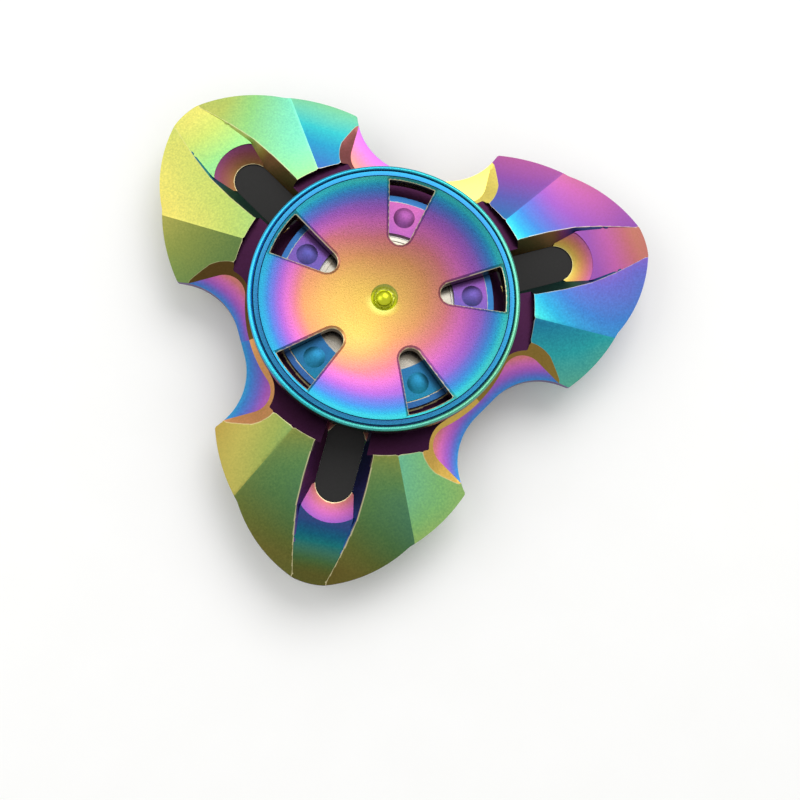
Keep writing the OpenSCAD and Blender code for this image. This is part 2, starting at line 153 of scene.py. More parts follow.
# ---- Frame ------------------------------------------------------------------------------
# One machined stainless steel plate: three arms with four ground facets above and below,
# a ramped channel and a slot in each, drafted pockets between them, and a bored hub.
# It is bead-blasted and then vapour-coated, which gives the rainbow interference colours.

arm_reach = 30.7
tip_arc = (22.53, 0.0, 8.19)
flank_arc = (16.33, -3.41, 15.10)
shoulder_arc = (11.27, -3.72, 18.53)
flank_start_x = 24.4
waist_r = 15.7
scallop_r = 7.0
scallop_flat = 1.5
recess_r = 16.5
floor_h = 1.2
ridge_in = (15.5, 5.66, 2.3)
ridge_out = (22.9, 9.3, 0.9)
edge_h = 0.4
shelf_edge_h = 0.45
shelf_rise = 0.14
pocket_half_w = 7.72
pocket_corner_r = 2.3
pocket_wall_w = 1.3
pocket_mouth_u = 19.8
pocket_mouth_fade = 3.0
hub_wall_r = 14.8
slot_r = 2.05
slot_in_x = 15.25
slot_out_x = 19.9
apron_r = 4.25
apron_rise = 0.35
channel_h = 0.45
mouth_half_w = 1.66
ramp_rise = 0.075
channel_in_x = 13.2
flank_out_x = 27
# Half width of the channel's foot and of its edge, and the height of its foot, along the arm
channel_foot = ([13.0, 20.0, 23.3, 26.0, 28.5, 31.0], [2.12, 2.12, 2.90, 2.56, 2.10, 1.55])
channel_edge = ([13.0, 16.2, 20.0, 23.3, 26.0, 28.5, 31.0], [3.1, 3.2, 3.35, 3.25, 2.80, 2.22, 1.58])
channel_foot_h = ([20.0, 23.3, 24.1, 31.0], [channel_h, 0.78, 0.90, edge_h])
hub_r = 16.1
collar_r = 11.9
collar_h = 2.9
retainer_r = 11.23
retainer_seat_h = 2.5
bore_r = 8.01
scallop_x = waist_r + scallop_r
frame_grid = 0.3
frame_grid_reach = 35.5


def gap_axes(x, y):
    """The same point measured along and across the line midway between two arms; undoes itself"""
    return 0.5 * x + math.sqrt(0.75) * y, math.sqrt(0.75) * x - 0.5 * y


def plane(a, b, c):
    """Height of the plane through three points, as a function of plan position"""
    n = np.cross(np.subtract(b, a), np.subtract(c, a))
    return lambda x, y: a[2] - (n[0] * (x - a[0]) + n[1] * (y - a[1])) / n[2]


tip_x = 30.55
horn_v = pocket_half_w + 0.2
horn_u = scallop_x - math.sqrt(scallop_r ** 2 - (horn_v - scallop_flat) ** 2)
horn = (*gap_axes(horn_u, horn_v), edge_h)
inner_facet = plane(ridge_in, (tip_x, mouth_half_w, edge_h), ridge_out)
outer_facet = plane(ridge_in, ridge_out, horn)

# The surfaces of a half arm: two facets, the pocket's wall and shelf, the channel's ramp, the
# apron round the slot's end and the channel's sides, then the recess, the collar and the seat
VOID, INNER, OUTER, WALL, SHELF, RAMP, APRON, FLANK, FLOOR, COLLAR, SEAT = range(11)


def outside_scallop(u, v):
    """How far a point lies from the edge of the hollow between two arms"""
    reach = np.hypot(u - scallop_x, np.maximum(v - scallop_flat, 0)) - scallop_r
    return np.where((u > scallop_x) & (v < scallop_flat + scallop_r), -1.0, reach)


def outside_pocket(u, v):
    """How far a point lies outside the foot of the pocket's wall, with its corner rounded"""
    corner_v = pocket_half_w - pocket_corner_r
    corner_u = math.sqrt((hub_wall_r + pocket_corner_r) ** 2 - corner_v ** 2)
    side = v - pocket_half_w
    hub = hub_wall_r - np.hypot(u, v)
    corner = np.hypot(u - corner_u, v - corner_v) - pocket_corner_r
    in_corner = (u < corner_u) & (v * corner_u > u * corner_v)
    return np.where(in_corner, np.maximum(corner, np.maximum(side, hub)), np.maximum(side, hub))


def frame_surfaces(x, y):
    """Height of every surface of a half arm over a plan position, one row for each label"""
    u, v = gap_axes(x, y)
    beyond = np.hypot(np.maximum(x - slot_out_x, 0), y)
    foot, edge = np.interp(x, *channel_foot), np.interp(x, *channel_edge)
    foot_z = np.interp(x, *channel_foot_h)
    z = np.zeros((SEAT + 1,) + x.shape)
    z[INNER] = inner_facet(x, y)
    z[OUTER] = outer_facet(x, y)
    z[SHELF] = shelf_edge_h + shelf_rise * np.maximum(outside_scallop(u, v), 0)
    fade = np.clip((pocket_mouth_u - u) / pocket_mouth_fade, 0.02, 1) ** 0.8
    width = np.maximum(pocket_wall_w * fade, 0.05)
    z[WALL] = z[SHELF] + (z[OUTER] - z[SHELF]) * outside_pocket(u, v) / width
    z[RAMP] = edge_h + ramp_rise * (arm_reach - x)
    z[APRON] = channel_h + apron_rise * np.clip((beyond - slot_r) / (apron_r - slot_r), 0, 1)
    z[FLANK] = foot_z + (inner_facet(x, edge) - foot_z) * (y - foot) / np.maximum(edge - foot, 0.05)
    z[FLOOR] = floor_h
    z[COLLAR] = collar_h
    z[SEAT] = retainer_seat_h
    return z


def within(arc, x, y):
    """Whether a point is inside an arc's circle"""
    return np.hypot(x - arc[0], y - arc[1]) < arc[2]


def frame_region(x, y):
    """Which surface is on top at a plan position, or VOID where there is no metal"""
    z = frame_surfaces(x, y)
    u, v = gap_axes(x, y)
    r = np.hypot(x, y)
    label = np.where(z[INNER] < z[OUTER], INNER, OUTER)
    top = np.minimum(z[INNER], z[OUTER])
    in_recess = (r < recess_r) & (z[FLOOR] < top)
    label = np.where(in_recess, FLOOR, label)
    top = np.where(in_recess, z[FLOOR], top)
    foot, edge = np.interp(x, *channel_foot), np.interp(x, *channel_edge)
    beyond = np.hypot(np.maximum(x - slot_out_x, 0), y)
    in_channel = (x > channel_in_x) & (y < edge) & ((z[FLANK] < top) | (y < foot) | (x > flank_out_x))
    bed = np.where((y > foot) & (x < flank_out_x), FLANK, np.where(beyond < apron_r, APRON, RAMP))
    label = np.where(in_channel, bed, label)
    pocket = np.maximum(z[SHELF], z[WALL])
    in_pocket = (u > 10) & (v < 13) & (pocket < top)
    label = np.where(in_pocket, np.where(z[SHELF] > z[WALL], SHELF, WALL), label)
    label = np.where(r < collar_r, COLLAR, label)
    label = np.where(r < retainer_r, SEAT, label)
    inside = np.where(x > flank_start_x, within(flank_arc, x, y), within(shoulder_arc, x, y))
    inside &= within(tip_arc, x, y) | (y > mouth_half_w)
    metal = inside | (r < hub_r)
    metal &= outside_scallop(u, v) > 0
    metal &= r > bore_r
    slot_d = np.hypot(np.maximum(np.maximum(x - slot_out_x, slot_in_x - x), 0), y)
    metal &= slot_d > slot_r
    return np.where(metal, label, VOID)


def ruled_wedge(reach, step):
    """Triangles that fill the 60 degrees between an arm's centre line and the line between two arms.
    The last list marks points on the first line with 1 and points on the second with 2."""
    n = int(reach / step) + 1
    index = {}
    points = []
    for i in range(n + 1):
        for j in range(n + 1 - i):
            index[i, j] = len(points)
            points.append((step * (i + 0.5 * j), step * j * math.sqrt(0.75)))
    faces = []
    for i in range(n):
        for j in range(n - i):
            faces.append((index[i, j], index[i + 1, j], index[i, j + 1]))
            if i + j < n - 1:
                faces.append((index[i + 1, j], index[i + 1, j + 1], index[i, j + 1]))
    fixed = np.zeros(len(points), int)
    for (i, j), k in index.items():
        fixed[k] = (1 if j == 0 else 0) + (2 if i == 0 else 0)
    return np.array(points), np.array(faces), fixed


def fit_to_creases(points, faces, fixed, region):
    """Moves grid points onto the lines where one surface meets another; returns a label per face"""
    pairs = np.sort(np.vstack([faces[:, [0, 1]], faces[:, [1, 2]], faces[:, [2, 0]]]), axis=1)
    pairs = np.unique(pairs, axis=0)
    label = region(points[:, 0], points[:, 1])
    moved = np.zeros(len(points), bool)
    for _ in range(6):
        a, b = pairs[:, 0], pairs[:, 1]
        open_pair = (label[a] != label[b]) & ~moved[a] & ~moved[b]
        if not open_pair.any():
            break
        a, b = a[open_pair], b[open_pair]
        pa, pb = points[a], points[b]
        lo, hi = np.zeros(len(a)), np.ones(len(a))
        for _ in range(14):
            mid = (lo + hi) / 2
            at = pa + (pb - pa) * mid[:, None]
            same = region(at[:, 0], at[:, 1]) == label[a]
            lo, hi = np.where(same, mid, lo), np.where(same, hi, mid)
        cut = (lo + hi) / 2
        move_a = cut < 0.5
        move_a = np.where((fixed[a] > 0) & (fixed[a] & fixed[b] == 0), False, move_a)
        move_a = np.where((fixed[b] > 0) & (fixed[a] & fixed[b] == 0), True, move_a)
        who = np.where(move_a, a, b)
        far = np.where(move_a, cut, 1 - cut)
        target = pa + (pb - pa) * cut[:, None]
        order = np.argsort(far, kind="stable")
        _, first = np.unique(who[order], return_index=True)
        pick = order[first]
        points[who[pick]] = target[pick]
        moved[who[pick]] = True
    corner = np.where(moved[faces], -1, label[faces])
    centre = points[faces].mean(axis=1)
    middle = region(centre[:, 0], centre[:, 1])
    best = corner.max(axis=1)
    return np.where(best >= 0, best, middle)


def settle_on_creases(points, faces, labels, fixed, region, step):
    """Moves each point between two surfaces onto the line where they meet, so the line runs smoothly"""
    low = np.full(len(points), 99)
    high = np.full(len(points), -1)
    np.minimum.at(low, faces.ravel(), np.repeat(labels, 3))
    np.maximum.at(high, faces.ravel(), np.repeat(labels, 3))
    mixed = np.zeros(len(points), bool)
    corner = np.repeat(labels, 3)
    mixed[faces.ravel()[(corner != low[faces.ravel()]) & (corner != high[faces.ravel()])]] = True
    pick = np.where((low != high) & (high >= 0) & ~mixed)[0]
    start, best = points[pick].copy(), np.full(len(pick), 9.0)
    result = start.copy()
    for turn in range(0, 180, 15):
        way = np.array([math.cos(math.radians(turn)), math.sin(math.radians(turn))])
        along_side = ((fixed[pick] == 1) & (turn == 0)) | ((fixed[pick] == 2) & (turn == 60))
        allowed = (fixed[pick] == 0) | along_side
        lo, hi = start - 0.6 * step * way, start + 0.6 * step * way
        first, last = region(lo[:, 0], lo[:, 1]), region(hi[:, 0], hi[:, 1])
        proper = (np.minimum(first, last) == low[pick]) & (np.maximum(first, last) == high[pick]) & allowed
        for _ in range(12):
            mid = (lo + hi) / 2
            same = region(mid[:, 0], mid[:, 1]) == first
            lo, hi = np.where(same[:, None], mid, lo), np.where(same[:, None], hi, mid)
        away = np.hypot(*((lo + hi) / 2 - start).T)
        better = proper & (away < best)
        best[better] = away[better]
        result[better] = ((lo + hi) / 2)[better]
    points[pick] = result


def stepped_sheet(points, faces, labels, surfaces):
    """Raises a labelled plan to its heights, with an upright wall wherever a level jumps.
    Returns vertices, triangles, labels, and the open edges as (from, to) vertex pairs."""
    heights = surfaces(points[:, 0], points[:, 1])
    keys, verts, out, out_labels = {}, [], [], []
    sides = {}

    def vertex(k, z):
        """One vertex for a plan point at a height, shared by heights within about 0.02 mm"""
        key = (k, round(z * 50))
        if key not in keys:
            keys[key] = len(verts)
            verts.append((points[k, 0], points[k, 1], z))
        return keys[key]

    for face, label in zip(faces, labels):
        if label == VOID:
            continue
        ids = [vertex(int(k), float(heights[label, k])) for k in face]
        out.append(ids)
        out_labels.append(label)
        for n in range(3):
            sides[int(face[n]), int(face[(n + 1) % 3])] = (ids[n], ids[(n + 1) % 3], label)
    rims = []
    for (a, b), (ia, ib, label) in sides.items():
        other = sides.get((b, a))
        if other is None:
            rims.append((ia, ib, a, b, label))
        elif a < b and (other[1] != ia or other[0] != ib):
            wall = max(label, other[2])
            ring = [ib, ia, other[1], other[0]]
            ring = [k for n, k in enumerate(ring) if k != ring[n - 1]]
            out.append(ring)
            out_labels.append(wall)
    return verts, out, out_labels, rims


wedge_points, wedge_faces, wedge_fixed = ruled_wedge(frame_grid_reach, frame_grid)
wedge_labels = fit_to_creases(wedge_points, wedge_faces, wedge_fixed, frame_region)
settle_on_creases(wedge_points, wedge_faces, wedge_labels, wedge_fixed, frame_region, frame_grid)
sheet, sheet_faces, sheet_labels, sheet_rims = stepped_sheet(
    wedge_points, wedge_faces, wedge_labels, frame_surfaces)

# The coat's colour order runs 0 to 1 through gold, pink, violet, blue, cyan and green and back
# to gold. Each facet has it near the hub, half way and at the tip, then its change for each
# millimetre sideways, and the facet's painted light and shade at its two ends. Keys are the arm
# and its side.
FACET_FILM = {
    (0, 1): {INNER: (0.70, 0.42, 0.33, -0.02, 0.78, 0.62), OUTER: (0.48, 0.38, 0.34, -0.03, 0.58, 0.62)},
    (0, -1): {INNER: (0.72, 0.51, 0.50, 0.02, 1.0, 0.95), OUTER: (0.68, 0.68, 0.72, 0.02, 0.76, 0.80)},
    (1, 1): {INNER: (0.91, 0.95, 0.985, 0.008, 0.93, 0.98), OUTER: (0.89, 0.95, 1.03, 0.0, 0.47, 0.68)},
    (1, -1): {INNER: (0.85, 0.81, 0.92, -0.01, 0.86, 0.80), OUTER: (0.63, 0.74, 0.88, 0.03, 0.66, 0.62)},
    (2, 1): {INNER: (0.95, 0.86, 1.00, -0.01, 0.66, 0.42), OUTER: (0.84, 0.86, 1.00, 0.012, 0.87, 0.82)},
    (2, -1): {INNER: (0.95, 0.86, 1.00, 0.01, 0.66, 0.43), OUTER: (0.97, 0.97, 1.05, 0.02, 0.67, 0.62)},
}
# Colour order at the two ends, then the painted light and shade at the two ends
RAMP_FILM = {0: (0.38, 0.20, 0.62, 0.62), 1: (0.85, 0.98, 0.88, 0.90), 2: (0.52, 0.98, 0.62, 0.38)}
# Colour order at the slot and at the ramp, then the painted light and shade
APRON_FILM = {0: (0.03, 0.30, 0.68), 1: (0.12, 0.30, 0.44), 2: (0.20, 0.40, 0.74)}
# Colour order and painted light and shade at the hub's end, then both at the tip's end
FLANK_FILM = {(0, 1): (0.14, 0.50, 0.50, 0.62), (0, -1): (0.74, 0.46, 0.58, 0.80),
              (1, 1): (0.78, 0.50, 0.62, 0.84), (1, -1): (0.14, 0.54, -0.08, 0.90),
              (2, 1): (0.50, 0.50, 0.56, 0.76), (2, -1): (0.30, 0.60, 0.46, 0.78)}
# Colour order at the outline, in the middle and at the wall's foot, then the painted light and shade
SHELF_FILM = {(0, 1): (0.05, 0.03, 0.01, 0.93), (1, -1): (0.38, 0.31, 0.20, 0.86),
              (1, 1): (0.56, 0.40, 0.20, 0.90), (2, -1): (0.60, 0.52, 0.36, 0.90),
              (2, 1): (0.58, 0.43, 0.22, 0.94), (0, -1): (0.57, 0.42, 0.22, 0.92)}
# Colour order and painted light and shade
WALL_FILM = {(0, 1): (0.03, 1.05), (1, -1): (0.22, 0.62), (1, 1): (0.10, 0.38), (2, -1): (0.14, 0.90),
             (2, 1): (0.07, 0.92), (0, -1): (0.07, 0.60)}
# Colour order and painted light and shade of the recess floor, the collar and the outline's side walls; the
# floor's is a deep painted shade
RECESS_FILM_AND_SHADE = (0.33, 0.26)
COLLAR_FILM = (0.55, 0.7)
OUTLINE_FILM = (0.42, 0.6)
# Where each run of colour starts along the arm and how long it is, and a facet's middle line
FACET_RUN = (15.5, 13.0)
RAMP_RUN = (24.2, 5.5)
FLANK_RUN = (20.5, 2.5)
FACET_MIDDLE_Y = {INNER: 5, OUTER: 9}
SHELF_STEPS = [0.0, 0.9, 2.6]
# How strongly each arm's painted edge highlight shows
EDGE_HIGHLIGHT_STRENGTH = (0.78, 0.85, 1.0)


def part_way(place, start, span):
    """How far a place has come across a span, from 0 to 1"""
    return min(max((place - start) / span, 0.0), 1.0)


def between(near, far, t):
    """The value part of the way from one end's to the other's"""
    return near + (far - near) * t


def film_of(x, y, label, arm, side):
    """Coat order at a point of a half arm, and its painted light and shade"""
    if label in (INNER, OUTER):
        near, half, far, slope, painted_light_in, painted_light_out = FACET_FILM[arm, side][label]
        t = part_way(x, *FACET_RUN)
        film = near * (1 - t) * (1 - 2 * t) + 4 * half * t * (1 - t) + far * t * (2 * t - 1)
        return film + slope * (y - FACET_MIDDLE_Y[label]), between(painted_light_in, painted_light_out, t)
    if label == RAMP:
        near, far, painted_light_in, painted_light_out = RAMP_FILM[arm]
        t = part_way(x, *RAMP_RUN)
        return between(near, far, t), between(painted_light_in, painted_light_out, t)
    if label == APRON:
        near, far, painted_light = APRON_FILM[arm]
        t = part_way(math.hypot(max(x - slot_out_x, 0), y), slot_r, apron_r - slot_r)
        return between(near, far, t), painted_light
    if label == FLANK:
        near, painted_light_in, far, painted_light_out = FLANK_FILM[arm, side]
        t = part_way(x, *FLANK_RUN)
        return between(near, far, t), between(painted_light_in, painted_light_out, t)
    if label == SHELF:
        *orders, painted_light = SHELF_FILM[arm, side]
        inside = float(outside_scallop(*map(np.float64, gap_axes(x, y))))
        return float(np.interp(inside, SHELF_STEPS, orders)), painted_light
    if label == WALL:
        return WALL_FILM[arm, side]
    return RECESS_FILM_AND_SHADE if label == FLOOR else COLLAR_FILM


def edge_highlight_ends(faces, labels, rims, count):
    """How strongly the painted edge highlight shows at each vertex: 1 for a vertex on a facet's edge
    beside the recess or the channel, on the collar's edge or at the slot's end, 0.8 on a facet's edge
    beside a pocket, and 0 elsewhere"""
    seen = [set() for _ in range(count)]
    for ids, label in zip(faces, labels):
        for k in ids:
            seen[k].add(label)
    ends = []
    for met in seen:
        facet = INNER in met or OUTER in met
        if (facet and met & {FLANK, RAMP, FLOOR}) or (COLLAR in met and len(met) > 1):
            ends.append(1.0)
        else:
            ends.append(0.8 if facet and WALL in met else 0.0)
    for ia, ib, a, b, label in rims:
        if label == APRON and not wedge_fixed[a] & wedge_fixed[b]:
            ends[ia] = ends[ib] = 1.0
    return ends


def whole_frame():
    """The half arm repeated round the hub, above and below, and its rim walls"""
    verts, faces, film, painted_light, edge = [], [], [], [], []
    highlight_at = edge_highlight_ends(sheet_faces, sheet_labels, sheet_rims, len(sheet))
    for arm in range(3):
        turn = math.radians(120 * arm)
        c, s = math.cos(turn), math.sin(turn)
        for side in (1, -1):
            start = {}
            for up in (1, -1):
                start[up] = len(verts)
                for x, y, z in sheet:
                    verts.append((c * x - s * y * side, s * x + c * y * side, z * up))
                for ids, label in zip(sheet_faces, sheet_labels):
                    ring = [start[up] + k for k in ids]
                    look = [film_of(sheet[k][0], sheet[k][1], label, arm, side) for k in ids]
                    if side * up < 0:
                        ring, look = ring[::-1], look[::-1]
                    faces.append(ring)
                    film += [f for f, _ in look]
                    painted_light += [b for _, b in look]
                    # How strongly this arm's painted edge highlight shows
                    edge_highlight = EDGE_HIGHLIGHT_STRENGTH[arm]
                    edge += [highlight_at[k] * edge_highlight for k in (ids[::-1] if side * up < 0 else ids)]
            for ia, ib, a, b, label in sheet_rims:
                if wedge_fixed[a] & wedge_fixed[b]:
                    continue
                ring = [start[1] + ib, start[1] + ia, start[-1] + ia, start[-1] + ib]
                if side < 0:
                    ring = ring[::-1]
                faces.append(ring)
                film += [OUTLINE_FILM[0]] * 4
                painted_light += [OUTLINE_FILM[1]] * 4
                edge += [0.0] * 4
    return verts, faces, film, painted_light, edge


crease_angle = 12
weld_gap = 0.01


def make_piece(name, verts, faces, film, painted_light, edge):
    """A mesh object from millimetre vertices, its coat values, painted light and shade and painted edge
    highlight kept for each corner
    """
    mesh = bpy.data.meshes.new(name)
    mesh.from_pydata([(x * mm, y * mm, z * mm) for x, y, z in verts], [], faces)
    # The second value is the painted light and shade, the third the strength of the painted edge highlight
    for look, values in (("film", film), ("painted_light", painted_light), ("edge", edge)):
        mesh.attributes.new(look, "FLOAT", "CORNER").data.foreach_set("value", values)
    piece = bpy.data.objects.new(name, mesh)
    scene.collection.objects.link(piece)
    weld = piece.modifiers.new("weld", "WELD")
    weld.merge_threshold = weld_gap * mm
    with bpy.context.temp_override(object=piece, active_object=piece, selected_objects=[piece]):
        bpy.ops.object.modifier_apply(modifier="weld")
    mesh.shade_smooth()
    mesh.set_sharp_from_angle(angle=math.radians(crease_angle))
    return piece


blasted_frame = make_piece("blasted_frame", *whole_frame())
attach(blasted_frame, "frame")
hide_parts("frame")

# Stainless steel, bead-blasted with fine glass and coated by physical vapour deposition.
# The coat is thin enough to show interference colours, which run on where it is thicker. Its
# sheen is satin with a fine sparkle. Each facet's colour carries its painted light and shade, and
# its sharp edges a pale gold line that is partly worn edges and partly a painted highlight.
FILM_COLOURS = [
    (0.00, "#f6ea78"), (0.07, "#ecc460"), (0.15, "#e49e6a"), (0.23, "#dc8088"), (0.31, "#d672bc"),
    (0.39, "#ab66c8"), (0.47, "#7472d0"), (0.55, "#4a88d4"), (0.63, "#38b0dc"), (0.70, "#46dce0"),
    (0.78, "#88ecc4"), (0.86, "#a6ea90"), (0.93, "#d2e678"), (1.00, "#f6ea78"),
]


def film_ramp(tree, order):
    """The coat's colours in order as a colour ramp"""
    ramp = add(tree, "ValToRGB", {"Fac": order})
    stops = ramp.color_ramp.elements
    stops.remove(stops[1])
    stops[0].position = 0.0
    stops[0].color = linear(FILM_COLOURS[0][1])
    for at, code in FILM_COLOURS[1:]:
        stops.new(at).color = linear(code)
    return ramp


# Pale gold of the edge lines: partly worn edges, partly a painted highlight for the light on their small
# bevels
WEAR_AND_HIGHLIGHT_GOLD = "#f2e6b4"
cloud_size = 9


def coated_steel(name, grain, roughness):
    """Bead-blasted steel under an interference coat. Real blasting pits are a few hundredths of a
    millimetre and wouldn't show, so grain, their size in millimetres, is drawn coarser."""
    material, tree, shader = new_material(name)
    place = add(tree, "TexCoord")
    film = add(tree, "Attribute", attribute_name="film")
    painted_light = add(tree, "Attribute", attribute_name="painted_light")
    # The edge attribute is the strength of the painted edge highlight
    edge = add(tree, "Attribute", attribute_name="edge")
    pits = add(tree, "TexNoise", {"Vector": place.outputs["Object"], "Scale": 1 / (grain * mm) / 2,
                                  "Detail": 3.0})
    clouds = add(tree, "TexNoise", {"Vector": place.outputs["Object"], "Scale": 1 / (cloud_size * mm),
                                    "Detail": 2.0})
    pit_shift = add(tree, "Math", {0: pits.outputs["Fac"], 1: 0.03, 2: -0.015}, operation="MULTIPLY_ADD")
    cloud_shift = add(tree, "Math", {0: clouds.outputs["Fac"], 1: 0.06, 2: -0.03}, operation="MULTIPLY_ADD")
    shifts = add(tree, "Math", {0: pit_shift.outputs[0], 1: cloud_shift.outputs[0]}, operation="ADD")
    order = add(tree, "Math", {0: film.outputs["Fac"], 1: shifts.outputs[0]}, operation="ADD")
    turn = add(tree, "Math", {0: order.outputs[0]}, operation="FRACT")
    ramp = film_ramp(tree, turn.outputs[0])
    speck = add(tree, "Math", {0: pits.outputs["Fac"], 1: 0.26, 2: 0.87}, operation="MULTIPLY_ADD")
    # Each corner's painted light and shade makes the coat's colour lighter or darker
    shade = add(tree, "Math", {0: painted_light.outputs["Fac"], 1: speck.outputs[0]}, operation="MULTIPLY")
    deep = add(tree, "Math", {0: shade.outputs[0], 1: 2.0}, operation="POWER")
    colour = add(tree, "VectorMath", {0: ramp.outputs["Color"], "Scale": deep.outputs[0]},
                 operation="SCALE")
    # A painted highlight along the marked edges, mixed in as pale gold, partly worn edges too
    line = add(tree, "MapRange", {"Value": edge.outputs["Fac"], "From Min": 0.55, "From Max": 0.9,
                                  "To Max": 0.75})
    # Among a Mix node's sockets, 0 is its factor, 6 and 7 are its two colours and 2 is its colour out
    wear_and_highlight = add(tree, "Mix", {0: line.outputs["Result"], 6: colour.outputs["Vector"], 7: linear(WEAR_AND_HIGHLIGHT_GOLD)},
               data_type="RGBA")
    tree.links.new(wear_and_highlight.outputs[2], shader.inputs["Base Color"])
    shader.inputs["Metallic"].default_value = 1.0
    rough = add(tree, "Math", {0: pits.outputs["Fac"], 1: 0.12, 2: roughness - 0.06},
                operation="MULTIPLY_ADD")
    tree.links.new(rough.outputs[0], shader.inputs["Roughness"])
    bump = add(tree, "Bump", {"Height": pits.outputs["Fac"], "Strength": 0.25, "Distance": 0.02 * mm})
    tree.links.new(bump.outputs["Normal"], shader.inputs["Normal"])
    return material


blasted_frame.data.materials.append(coated_steel("blasted_coated_steel", 0.11, 0.34))

# ---- Finger caps ------------------------------------------------------------------------
# Two turned stainless steel discs, one above and one below, that the fingers hold. Each has
# a beaded rim, a dished face with five milled windows, and a boss that seats on the bearing.
# They are blasted more finely than the frame and carry the same rainbow coat.

cap_r = 14.4
cap_top = 5.3
cap_under = 3.4
seat_top = 3.0
bead_w = 0.5
rim_w = 0.55
groove_w = 0.12
face_r = cap_r - bead_w - groove_w - rim_w
dish_depth = 0.7
dish_r = (face_r ** 2 + dish_depth ** 2) / (2 * dish_depth)
plate_r = face_r - 0.03
boss_r = 5.0
spigot_r = 3.95
spigot_bore_r = 1.28
spigot_end = 0.15
dimple_r = 1.45
dimple_depth = 0.5
stud_hole_r = 0.83
window_phase = -11
window_count = 5
window_end_x = 7.2
window_end_r = 1.2
window_half_w = 2.5
window_rim = 0.33
window_out_r = face_r - window_rim
window_roll = 0.28
window_roll_slope = 0.5
cap_grid = 0.2
rim_segments = 240
window_spread = math.asin((window_half_w - window_end_r) / (window_out_r - window_end_x))

# The surfaces of a cap's face: the dish, its rolled window edges and the dimple's cone
DISH, ROLL, CONE = range(1, 4)


def dish_z(r):
    """Height of the dished face"""
    return cap_top - dish_depth + dish_r - np.sqrt(dish_r ** 2 - r ** 2)


def outside_window(x, y):
    """How far a point lies outside the nearest window"""
    step = 2 * math.pi / window_count
    angle = (np.arctan2(y, x) - math.radians(window_phase) + step / 2) % step - step / 2
    r = np.hypot(x, y)
    along, across = r * np.cos(angle), np.abs(r * np.sin(angle))
    c, s = math.cos(window_spread), math.sin(window_spread)
    side = (across * c - (along - window_end_x) * s) - window_end_r
    at_end = (along - window_end_x) * c + across * s < 0
    body = np.where(at_end, np.hypot(along - window_end_x, across) - window_end_r, side)
    return np.maximum(body, r - window_out_r)


def cap_surfaces(x, y):
    """Height of every surface of a cap's face over a plan position"""
    r = np.hypot(x, y)
    z = np.zeros((CONE + 1,) + x.shape)
    z[DISH] = dish_z(np.minimum(r, face_r))
    z[ROLL] = z[DISH] - window_roll_slope * np.clip(window_roll - outside_window(x, y), 0, window_roll)
    z[CONE] = z[DISH] - np.clip(dimple_r - r, 0, dimple_depth)
    return z


def cap_region(x, y):
    """Which surface of the face is at a plan position"""
    r = np.hypot(x, y)
    away = outside_window(x, y)
    label = np.where(away < window_roll, ROLL, DISH)
    label = np.where(r < dimple_r, CONE, label)
    return np.where((away < 0) | (r > plate_r) | (r < stud_hole_r), VOID, label)


def ruled_disc(radius, step):
    """Equal triangles that cover a disc"""
    n = int(radius / step * 1.2) + 2
    i, j = np.meshgrid(np.arange(-n, n + 1), np.arange(-n, n + 1), indexing="ij")
    points = np.stack([step * (i + 0.5 * j), step * j * math.sqrt(0.75)], axis=-1).reshape(-1, 2)
    k = np.arange(len(points)).reshape(i.shape)
    a, b, c, d = k[:-1, :-1], k[1:, :-1], k[1:, 1:], k[:-1, 1:]
    faces = np.concatenate([np.stack(f, axis=-1).reshape(-1, 3) for f in ((a, b, d), (b, c, d))])
    near = np.hypot(*points.T)[faces].min(axis=1) < radius
    return points, faces[near]


disc_points, disc_faces = ruled_disc(plate_r + 0.3, cap_grid)
disc_fixed = np.zeros(len(disc_points), int)
disc_labels = fit_to_creases(disc_points, disc_faces, disc_fixed, cap_region)
settle_on_creases(disc_points, disc_faces, disc_labels, disc_fixed, cap_region, cap_grid)
plate, plate_faces, plate_labels, plate_rims = stepped_sheet(
    disc_points, disc_faces, disc_labels, cap_surfaces)

# Colour order from the middle of the face outwards, and how far a gold patch reaches along it
FACE_FILM = ([0, 2.5, 4.5, 6.5, 8.5, 10.5, 12.0, 12.9], [0.08, 0.11, 0.15, 0.22, 0.31, 0.42, 0.57, 0.70])
PATCH_REACH = ([0, 4, 8.5, 12.5], [0.1, 0.3, 1, 0])
# Coat order, then painted light and shade: painted shade under the cap, on the boss, in the stud's hole and
# on the window walls. The last value is a painted highlight along the windows' top edges.
CONE_FILM = 0.97
UNDER_FILM = (0.15, 0.45)
HOLE_FILM = (0.97, 0.5)
WINDOW_TOP_FILM = (0.12, 0.36)
WINDOW_FOOT_FILM = (0.12, 0.42)
WINDOW_EDGE_HIGHLIGHT = 0.8


def toward(angle, degrees):
    """1 in a direction, 0 square to it and -1 opposite"""
    return math.cos(angle - math.radians(degrees))


def cap_film(x, y):
    """Coat order of a cap's face, gold in the middle, then pink, violet and cyan, and its painted light and
    shade
    """
    r, angle = math.hypot(x, y), math.atan2(y, x)
    # Gold and pink reach further out on the side at 175 degrees
    film = float(np.interp(r, *FACE_FILM))
    film -= 0.15 * max(0.0, toward(angle, 175)) * float(np.interp(r, *PATCH_REACH))
    film -= 0.07 * max(0.0, (r - 10.5) / 2.5) * max(0.0, -toward(angle, -5))
    # The face has a painted highlight brightest at 215 degrees, and a painted shade on its outer edge, most
    # of all at 240 degrees
    painted_light = 0.76 + 0.10 * toward(angle, 215) * min(r / 5, 1.0)
    painted_light -= 0.08 * max(0.0, (r - 9.5) / 3.5) * max(0.0, -toward(angle, 60))
    painted_light -= 0.07 * max(0.0, r - 12.0)
    # A painted highlight, a pale patch, lies between the dimple and the windows at the lower left
    painted_highlight = math.exp(-((x + 3.9) ** 2 + (y + 4.2) ** 2) / 10)
    return film - 0.03 * painted_highlight, painted_light + 0.05 * painted_highlight


